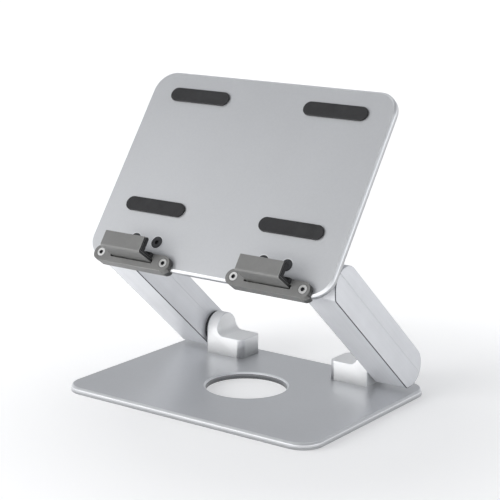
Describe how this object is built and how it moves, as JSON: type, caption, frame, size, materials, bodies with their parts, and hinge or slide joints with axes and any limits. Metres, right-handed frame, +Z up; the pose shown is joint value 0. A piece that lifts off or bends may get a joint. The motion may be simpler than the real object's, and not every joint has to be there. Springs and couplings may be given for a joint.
{
  "type": "tablet stand",
  "caption": "Folding aluminium tablet stand: a tilting tray with rubber-lined hooks, carried on two boxed arms with friction hinges above a flat base plate.",
  "frame": {"origin": "centre of the base plate's footprint, at the height of the table", "axes": "+X to the viewer's right, +Y to the back, +Z up; the hooks face -Y"},
  "size_m": [0.182, 0.135, 0.1888],
  "materials": {
    "silver_plate": "fine bead-blasted, clear anodised",
    "silver_bracket": "satin, clear anodised",
    "silver_arm": "satin, clear anodised",
    "grey_cast": "warm grey satin coating on a casting",
    "black_rubber": "matt silicone rubber",
    "bright_steel": "turned, zinc plated",
    "black_steel": "black oxide",
    "bronze": "sintered bronze, oiled"
  },
  "bodies": {
    "base": {"base_plate": "silver_plate", "base_feet": "black_rubber", "base_bracket_left": "silver_bracket", "base_bracket_right": "silver_bracket", "base_bracket_screws": "black_steel", "lower_hinge_pin_left": "bright_steel", "lower_hinge_pin_right": "bright_steel", "lower_thrust_washers": "black_steel", "lower_friction_washers": "bronze", "lower_disc_springs": "black_steel", "lower_hinge_nuts": "bright_steel"},
    "arms": {"arm_front_shell_left": "silver_arm", "arm_front_shell_right": "silver_arm", "arm_rear_shell_left": "silver_arm", "arm_rear_shell_right": "silver_arm", "arm_core_left": "bright_steel", "arm_core_right": "bright_steel", "arm_cover_screws": "black_steel"},
    "tray": {"tray_plate": "silver_plate", "tray_pads": "black_rubber", "tray_bracket_left": "silver_bracket", "tray_bracket_right": "silver_bracket", "tray_bracket_screws": "black_steel", "upper_hinge_pin_left": "bright_steel", "upper_hinge_pin_right": "bright_steel", "upper_thrust_washers": "black_steel", "upper_friction_washers": "bronze", "upper_disc_springs": "black_steel", "upper_hinge_nuts": "bright_steel", "clip_bar_left": "grey_cast", "clip_bar_right": "grey_cast", "hook_left": "grey_cast", "hook_right": "grey_cast", "hook_liner_left": "black_rubber", "hook_liner_right": "black_rubber", "clip_screws": "bright_steel"}
  },
  "joints": [
    {"name": "arm_tilt", "type": "hinge", "parent": "base", "child": "arms", "pos_m": [0, 0.0517, 0.0199], "axis": [-1, 0, 0], "range_deg": [-34.6, 45]},
    {"name": "tray_tilt", "type": "hinge", "parent": "arms", "child": "tray", "pos_m": [0, -0.02388, 0.08583], "axis": [1, 0, 0], "range_deg": [-89.6, 20]}
  ]
}
